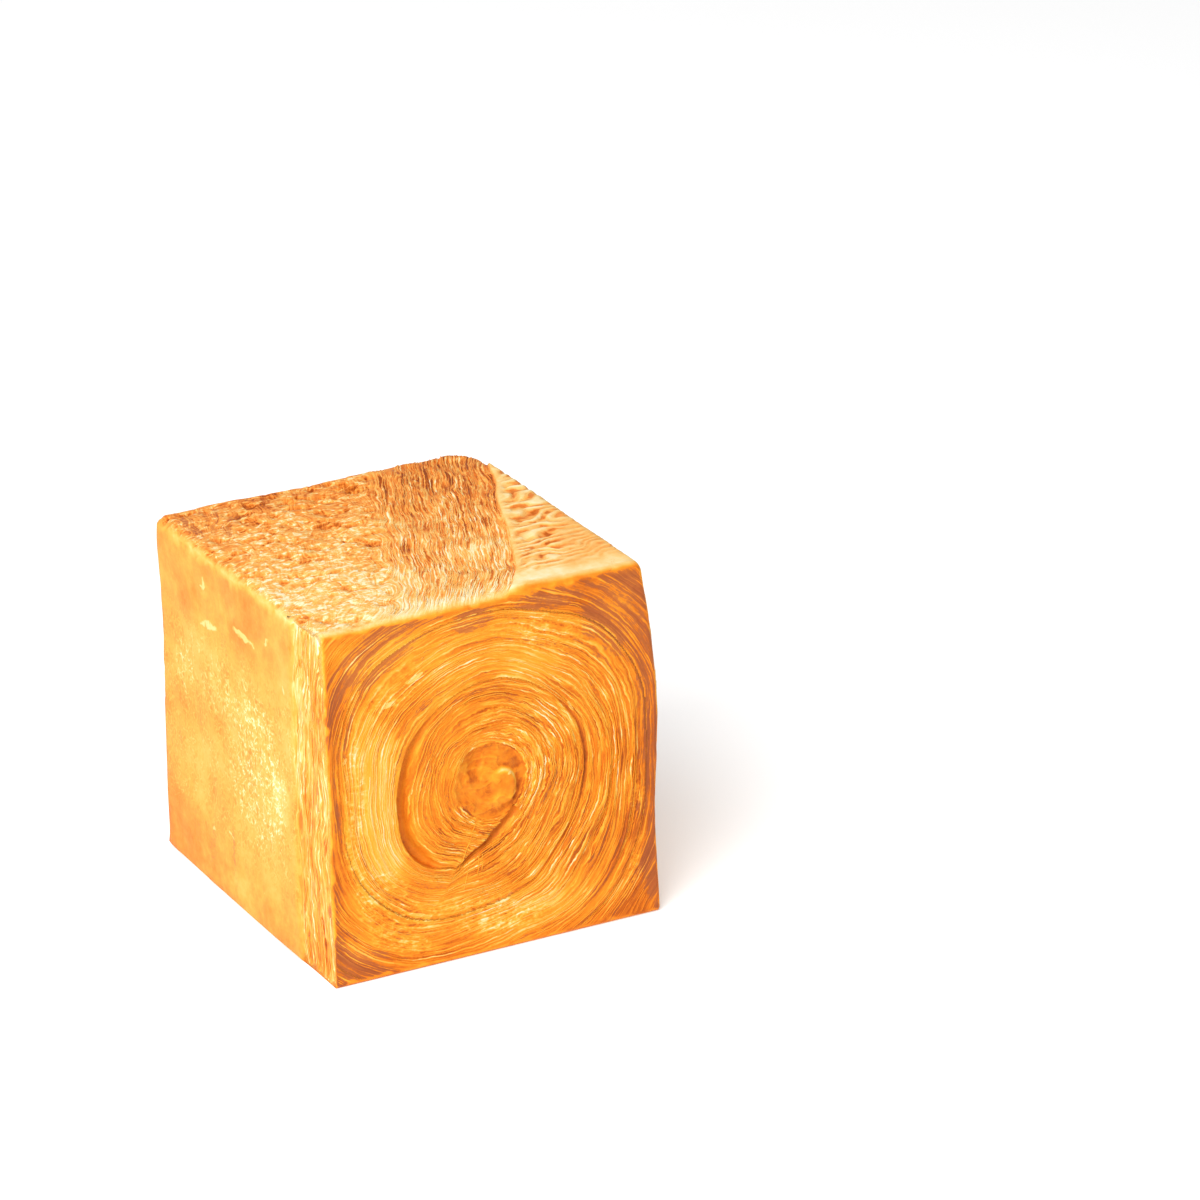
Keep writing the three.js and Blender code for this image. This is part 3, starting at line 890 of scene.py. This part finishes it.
def edge_recipe():
    """Sweeps a thin tapered blade along every path."""
    recipe = Recipe("layer edges", {"Foot width": 1.0, "Tip width": 0.5, "Height": 1.0})
    paths = recipe.node("GeometryNodeMeshToCurve", Mesh=recipe.inputs["Geometry"])
    paths = recipe.node("GeometryNodeSetCurveNormal", {"mode": "FREE"}, Curve=paths,
                        Normal=recipe.field("outward", "FLOAT_VECTOR"))
    blade = recipe.node("GeometryNodeCurvePrimitiveQuadrilateral", {"mode": "TRAPEZOID"},
                        Height=recipe.inputs["Height"], Bottom_Width=recipe.inputs["Foot width"],
                        Top_Width=recipe.inputs["Tip width"], Offset=0.0)
    level = recipe.node("ShaderNodeSeparateXYZ", None, Vector=recipe.node("GeometryNodeInputPosition"))
    level = level.node.outputs["Y"]
    level = recipe.node("ShaderNodeMath", {"operation": "ADD"}, _0=level, _1=0.5)
    blade = recipe.node("GeometryNodeStoreNamedAttribute", {"data_type": "FLOAT"}, Geometry=blade,
                        Name="tip", Value=level)
    blade = recipe.node("GeometryNodeTransform", Geometry=blade, Rotation=(0, 0, -math.pi / 2))
    swept = recipe.node("GeometryNodeCurveToMesh", Curve=paths, Profile_Curve=blade,
                        Scale=recipe.field("reach"), Fill_Caps=True)
    return recipe, swept


# ---- Shader kit ----------------------------------------------------------------------------
class Wire:
    """A socket on which +, - and * add Math nodes."""

    def __init__(self, look, socket):
        self.look, self.socket = look, socket

    def __add__(self, other):
        return self.look.maths("ADD", self, other)

    def __sub__(self, other):
        return self.look.maths("SUBTRACT", self, other)

    def __rsub__(self, other):
        return self.look.maths("SUBTRACT", other, self)

    def __mul__(self, other):
        return self.look.maths("MULTIPLY", self, other)

    __radd__ = __add__
    __rmul__ = __mul__


class Look:
    """A material and the nodes that make it."""

    def __init__(self, name):
        self.material = bpy.data.materials.new(name)
        self.material.use_nodes = True
        self.material.cycles.emission_sampling = "NONE"
        self.tree = self.material.node_tree
        self.tree.nodes.clear()

    def node(self, kind, settings=None, **inputs):
        made = self.tree.nodes.new(kind)
        for key, value in (settings or {}).items():
            setattr(made, key, value)
        for key, value in inputs.items():
            self.plug(socket_called(made, key), value)
        return made

    def plug(self, socket, value):
        if isinstance(value, Wire):
            value = value.socket
        if isinstance(value, bpy.types.NodeSocket):
            self.tree.links.new(value, socket)
        elif isinstance(value, tuple) and len(value) == 3 and len(socket.default_value) == 4:
            socket.default_value = (*value, 1.0)
        else:
            socket.default_value = value

    def maths(self, operation, a, b=0.0, clamp=False):
        made = self.node("ShaderNodeMath", {"operation": operation, "use_clamp": clamp}, _0=a, _1=b)
        return Wire(self, made.outputs[0])

    def field(self, name):
        return Wire(self, self.node("ShaderNodeAttribute", {"attribute_name": name}).outputs["Fac"])

    def vector(self, name):
        return self.node("ShaderNodeAttribute", {"attribute_name": name}).outputs["Vector"]

    def stretched(self, vector, scale):
        made = self.node("ShaderNodeVectorMath", {"operation": "MULTIPLY"}, _0=vector, _1=scale)
        return made.outputs[0]

    def joined(self, x, y, z):
        return self.node("ShaderNodeCombineXYZ", None, X=x, Y=y, Z=z).outputs[0]

    def noise(self, vector, scale, detail=2.0, roughness=0.5, size="3D"):
        """Noise from about -1 to 1, with features one over scale metres across."""
        made = self.node("ShaderNodeTexNoise", {"noise_dimensions": size}, Vector=vector, Scale=scale,
                         Detail=detail, Roughness=roughness)
        return (Wire(self, made.outputs["Fac"]) - 0.5) * 2.5

    def sheet_noise(self, across, along, detail=0.0, roughness=0.5):
        """The same, in the rolled sheet's own flat coordinates."""
        return self.noise(self.joined(across, along, 0.0), 1.0, detail, roughness, "2D")

    def step(self, value, low, high):
        made = self.node("ShaderNodeMapRange", {"interpolation_type": "SMOOTHSTEP"}, Value=value,
                         From_Min=low, From_Max=high)
        return Wire(self, made.outputs["Result"])

    def blend(self, share, a, b):
        made = self.node("ShaderNodeMix", {"data_type": "RGBA"}, _0=share, _6=a, _7=b)
        return made.outputs[2]

    def ramp(self, value, stops):
        made = self.node("ShaderNodeValToRGB", None, Fac=value)
        dots = made.color_ramp.elements
        while len(dots) < len(stops):
            dots.new(0.5)
        for dot, (position, colour) in zip(dots, stops):
            dot.position, dot.color = position, (*colour, 1.0)
        return made.outputs["Color"]

    def finish(self, colour, roughness, height=None, depth=0.0, glow=None, **constants):
        shader = self.node("ShaderNodeBsdfPrincipled", None, Base_Color=colour, Roughness=roughness)
        if glow is not None:
            self.plug(shader.inputs["Emission Color"], glow)
            shader.inputs["Emission Strength"].default_value = 1.0
        for key, value in constants.items():
            shader.inputs[key.replace("_", " ")].default_value = value
        if height is not None:
            bump = self.node("ShaderNodeBump", None, Strength=1.0, Distance=depth, Height=height)
            self.plug(shader.inputs["Normal"], bump.outputs["Normal"])
        out = self.node("ShaderNodeOutputMaterial")
        self.plug(out.inputs["Surface"], shader.outputs[0])
        return self.material


# ---- Finishes ------------------------------------------------------------------------------
CRUST_TONES = (
    (0.00, (0.81, 0.70, 0.42)),
    (0.14, (0.805, 0.595, 0.235)),
    (0.27, (0.80, 0.48, 0.108)),
    (0.39, (0.79, 0.385, 0.045)),
    (0.51, (0.78, 0.315, 0.020)),
    (0.61, (0.755, 0.245, 0.014)),
    (0.73, (0.69, 0.182, 0.009)),
    (0.87, (0.475, 0.100, 0.006)),
    (1.00, (0.26, 0.05, 0.004)),
)
GLAZE_TONES = (
    (0.2, (0.70, 0.24, 0.040)),
    (0.5, (0.47, 0.132, 0.030)),
    (0.8, (0.31, 0.078, 0.022)),
)
CRUST_CONSTANTS = {"Specular_IOR_Level": 0.12}
TONE_SHIFT = 0.1  # between the finish called bake and the place among the tones
BUMP_HEIGHT = 0.06 * MM
BLACK = (0.0, 0.0, 0.0)
WHITE = (1.0, 1.0, 1.0)
PAINTED_GAP_GLOW = (0.3, 0.055, 0.002)  # painted glow: orange emission in the gaps, standing in for light that comes through the thin layers


def layer_lines(look, phase, length, pitch, reach, width):
    """A crisp dark line at each whole number of phase times pitch, partly painted shade in the gap between
    layers, and a pale lip above it, each strong here and faint there; and both again at full strength."""
    at = phase * pitch
    number = look.maths("ROUND", at)
    side = at - number
    line = 1.0 - look.step(look.maths("ABSOLUTE", side + 0.06), 0.04, 0.04 + width)
    strength = look.sheet_noise(number * 7.7 + pitch, length * reach)
    dark = line * look.step(strength, -0.5, 0.4)
    strength = look.sheet_noise(number * 5.1 + 3.0, length * reach * 1.5)
    lip = look.step(side, width * 0.4, width * 0.4 + 0.1)
    lip = lip * (1.0 - look.step(side, width * 0.4 + 0.18, width * 0.4 + 0.4))
    return dark, lip * look.step(strength, -0.35, 0.35), line, lip


def with_painted_sheen(look, colour, tone, milk):
    """Painted sheen: the colour drawn a little toward white on the top and the sides, standing in for the
    bright room's reflection, least where the crust is darkest.
    """
    share = milk * 0.08 * look.maths("SUBTRACT", 0.95, tone * 1.1, clamp=True)
    return look.blend(share, colour, WHITE)


def crust_look():
    look = Look("baked crust")
    grain = look.vector("grain")
    bake, glaze, crumb = look.field("bake"), look.field("glaze"), look.field("crumb")
    gape, layered, seam = look.field("gape"), look.field("layered"), look.field("seam")
    milk = look.field("milk")
    parts = look.node("ShaderNodeSeparateXYZ", None, Vector=grain)
    phase, face = Wire(look, parts.outputs[0]), Wire(look, parts.outputs[2])
    length = Wire(look, parts.outputs[1]) + face * 33.0
    on_coil = look.maths("LESS_THAN", face, 1.5 * FACE_STEP)
    where = look.node("ShaderNodeTexCoord").outputs["Object"]
    layered = layered * (1.0 - seam)
    skin = 1.0 - layered * 0.85
    lacy = look.field("lacy") * (1.0 - seam)

    # the layers run crinkled, each with dark gaps and pale lips, down to the finest
    crinkle = look.sheet_noise(phase * 0.8, length * 0.42, 2.0, 0.65)
    phase = phase + crinkle * (on_coil * 0.1 + 0.16)
    present = look.step(look.sheet_noise(phase * 0.22, length * 0.07), -0.6, 0.5)
    present = (present * 0.6 + 0.4) * (lacy * 0.4 + 0.7) * layered
    gap, lip, line, edge = layer_lines(look, phase, length, 1.0, 0.12, 0.15)
    fine_gap, fine_lip, _, _ = layer_lines(look, phase, length, 1.7, 0.2, 0.18)
    bundle_gap, _, _, _ = layer_lines(look, phase, length, 0.37, 0.07, 0.08)
    wide = look.maths("ABSOLUTE", phase - look.maths("ROUND", phase))
    wide = (1.0 - look.step(wide, 0.05, gape * 0.4 + 0.06)) * look.step(gape, 0.1, 0.6) * layered

    # where they part: long hollows with thin pale walls round them
    web = look.sheet_noise(phase * (on_coil * 0.55 + 1.15), length * (0.13 - on_coil * 0.06), 1.0)
    wall = (1.0 - look.step(look.maths("ABSOLUTE", web), 0.05, 0.17)) * lacy
    hollow = look.step(web, 0.22, 0.5) * lacy
    ripple = look.maths("SINE", (look.field("ripple") + crinkle * 0.06) * (2 * math.pi))
    on_flap = look.field("flap")
    dip = look.step(ripple * -1.0, -0.2, 0.7) * on_flap
    crest = look.step(ripple, 0.35, 0.95) * on_flap
    broken = look.step(look.sheet_noise(phase * 0.35, length * 0.6), -0.5, 0.3)

    # streaks along the layers
    fine = look.sheet_noise(phase * 3.2, length * 0.5, 1.0, 0.6) * layered
    medium = look.sheet_noise(phase * 1.1, length * 0.08) * layered
    broad = look.sheet_noise(phase * 0.4, length * 0.05)

    # the baked skin's own mottling, and the open crumb
    blotch = look.noise(where, 190.0, 2.0, 0.6)
    crackle = look.noise(where, 750.0, 2.0, 0.62)
    pores = look.noise(where, 2100.0, 0.0)
    lace = look.noise(look.stretched(where, (0.45, 1.2, 1.1)), 820.0, 1.0)
    flaky = 1.0 - look.step(look.maths("ABSOLUTE", lace), 0.06, 0.18)
    flaky = flaky * look.step(blotch + crumb, 0.0, 0.6) * look.step(crackle, -0.4, 0.3)
    slots = look.step(lace, 0.25, 0.55) * crumb
    blob = look.step(crackle + blotch * 0.6 + crumb * 0.5, 0.45, 0.95)
    holes = look.step(crackle * -1.0 + pores * 0.4 + crumb * 0.35, 0.4, 0.75)
    speck = look.step(look.sheet_noise(phase * 2.6, length * 1.9, 1.0, 0.7), -0.5, 0.5) - 0.5
    rope = look.maths("FRACT", phase)
    rope = look.step(rope, 0.1, 0.3) * (1.0 - look.step(rope, 0.55, 0.85)) * layered
    rope = rope * (crumb * 0.8 + 0.2) * look.step(medium + crumb * 0.5, -0.3, 0.5)
    fleck = look.step(look.field("fleck") + crackle * 0.16, 0.48, 0.62)

    # partly painted shade: the gaps, hollows and the flap's dips are darker, both for the shade in them
    # and for the deeper orange inside; lips, walls and crests are paler
    lines = gap * 0.14 - lip * 0.44 + fine_gap * 0.1 - fine_lip * 0.3
    lines = lines + bundle_gap * (lacy * 0.14 + 0.04)
    on_top = 1.0 - on_coil
    lines = lines * present + hollow * (on_top * 0.11 + 0.12) - wall * 0.29
    lines = lines + dip * broken * 0.37 - crest * 0.16
    tone = bake + TONE_SHIFT + fine * 0.05 + medium * 0.07 + broad * 0.09 * (1.1 - skin) + lines
    tone = tone + (blotch * 0.13 + crackle * 0.08) * skin + pores * 0.025 + slots * 0.12
    tone = tone - crumb * (flaky * (0.22 + 0.14 * on_top) + blob * (0.14 + 0.07 * on_top) - holes * 0.06)
    # the seam's darkening at the end of the next line is painted shade in the groove
    tone = tone + (crumb + 0.15) * layered * speck * 0.16 - rope * (speck + 0.5) * 0.22 + seam * 0.12
    tone = tone - fleck * (tone - 0.1) * 0.7
    colour = look.ramp(tone, CRUST_TONES)
    colour = with_painted_sheen(look, colour, tone, milk)
    streaks = broad * 0.45 + medium * 0.5 + fine * 0.5 + blotch * 0.2 * skin
    glazed = look.step(glaze + streaks - lip * 0.6 - fine_lip * 0.5 - wall * 0.4 - speck * 0.4, 0.32, 0.8)
    colour = look.blend(glazed * 0.8, colour, look.ramp(tone - 0.1, GLAZE_TONES))
    height = (edge * 0.5 - line * 0.5) * present + wall * 0.4 - hollow * 0.4 + crackle * skin * 0.25
    height = height + crest * 0.6 - dip * 1.2 + rope * 0.4 + fleck * 0.7 - slots * 0.5
    roughness = 0.55 - glazed * 0.15
    # painted glow: the wide gaps, and a little the gaps between layers, give off orange light of their own
    deep = look.maths("ADD", wide * 0.8, gap * layered * 0.2, clamp=True)
    glow = look.blend(deep, BLACK, PAINTED_GAP_GLOW)
    return look.finish(colour, roughness, height, BUMP_HEIGHT, glow=glow, **CRUST_CONSTANTS)


def edge_look():
    look = Look("thin layer edge")
    bake, milk = look.field("bake"), look.field("milk")
    where = look.node("ShaderNodeTexCoord").outputs["Object"]
    grain = look.noise(where, 1500.0, 1.0)
    pale = look.step(look.field("tip"), 0.3, 0.95) * (look.field("paleness") + 0.25)
    tone = bake * 1.02 + TONE_SHIFT - pale * 0.3 + grain * 0.05
    colour = with_painted_sheen(look, look.ramp(tone, CRUST_TONES), tone, milk)
    return look.finish(colour, 0.5, **CRUST_CONSTANTS)


def table_look():
    look = Look("white table")
    white = (TABLE["white"],) * 3
    return look.finish(white, 0.5, Specular_IOR_Level=0.1, Emission_Strength=TABLE["glow"])


# ---- Camera, light and table ---------------------------------------------------------------
CAMERA = {
    "azimuth": math.radians(-30.187),
    "elevation": math.radians(23.121),
    "roll": math.radians(0.315),
    "distance": 915.46,
    "focal": 8.6507,
    "aside": -34.807,
    "above": -19.523,
}
FRAME_WIDTH = 36.0
WINDOW = {"place": (-0.66, -0.42, 0.72), "target": (0, 0, 0.03), "size": 0.9, "power": 14.0}
ROOM_LIGHT = 0.58
TABLE = {"half_size": 3.0, "white": 0.95, "glow": 0.19}


def aim_camera(shift):
    a, e, roll = CAMERA["azimuth"], CAMERA["elevation"], CAMERA["roll"]
    back = Vector((math.sin(a) * math.cos(e), -math.cos(a) * math.cos(e), math.sin(e)))
    level = Vector((math.cos(a), math.sin(a), 0.0))
    level_up = back.cross(level)
    right = level * math.cos(roll) + level_up * math.sin(roll)
    up = level_up * math.cos(roll) - level * math.sin(roll)
    middle = Vector((shift[0], shift[1], HALF))
    at = middle - right * CAMERA["aside"] - up * CAMERA["above"] + back * CAMERA["distance"]
    camera = bpy.data.objects.new("camera", bpy.data.cameras.new("camera"))
    camera.data.sensor_width = FRAME_WIDTH
    camera.data.lens = FRAME_WIDTH / 2 * CAMERA["focal"]
    camera.data.clip_end = 10.0
    turn = Matrix((right, up, back)).transposed().to_4x4()
    camera.matrix_world = Matrix.Translation(at * MM) @ turn
    bpy.context.scene.collection.objects.link(camera)
    bpy.context.scene.camera = camera


def light_the_set():
    world = bpy.data.worlds.new("soft white room")
    world.use_nodes = True
    background = world.node_tree.nodes["Background"]
    background.inputs["Color"].default_value = (*WHITE, 1.0)
    background.inputs["Strength"].default_value = ROOM_LIGHT
    bpy.context.scene.world = world
    lamp = bpy.data.lights.new("left window", "AREA")
    lamp.shape, lamp.size, lamp.energy = "DISK", WINDOW["size"], WINDOW["power"]
    window = bpy.data.objects.new("left window", lamp)
    window.location = WINDOW["place"]
    away = Vector(WINDOW["place"]) - Vector(WINDOW["target"])
    window.rotation_euler = away.to_track_quat("Z", "Y").to_euler()
    bpy.context.scene.collection.objects.link(window)


def lay_table():
    size = TABLE["half_size"]
    mesh = bpy.data.meshes.new("table")
    corners = ((-size, -size, 0), (size, -size, 0), (size, size, 0), (-size, size, 0))
    mesh.from_pydata(corners, [], [(0, 1, 2, 3)])
    mesh.materials.append(table_look())
    table = bpy.data.objects.new("table", mesh)
    bpy.context.scene.collection.objects.link(table)


# ---- Putting it together -------------------------------------------------------------------
bpy.context.scene.view_settings.view_transform = "Standard"
body, body_shift = baked_body()
aim_camera(body_shift)
light_the_set()
lay_table()
body.data.materials.append(crust_look())
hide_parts(NODE)

thin_edge = edge_look()
edges = []
for side, lines, axis, level in (
    ("front", coil_edges(FACE_SEEDS["front"]), 1, -HALF),
    ("back", coil_edges(FACE_SEEDS["back"]), 1, HALF),
    ("top", top_edges(FACE_SEEDS["top"]), 2, HALF),
    ("left", strip_edges(FACE_SEEDS["left"]), 0, -HALF),
    ("right", strip_edges(FACE_SEEDS["right"]), 0, HALF),
):
    name = side + "_layer_edges"
    paths = edge_paths(name, lines, axis, level, FACE_SEEDS[side] + 60, body_shift)
    recipe, blades = edge_recipe()
    edges.append(recipe.apply(name, paths, blades, thin_edge))
for piece in [body] + edges:
    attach(piece, BODY)
    print(piece.name, sum(len(face.vertices) - 2 for face in piece.data.polygons), "triangles")
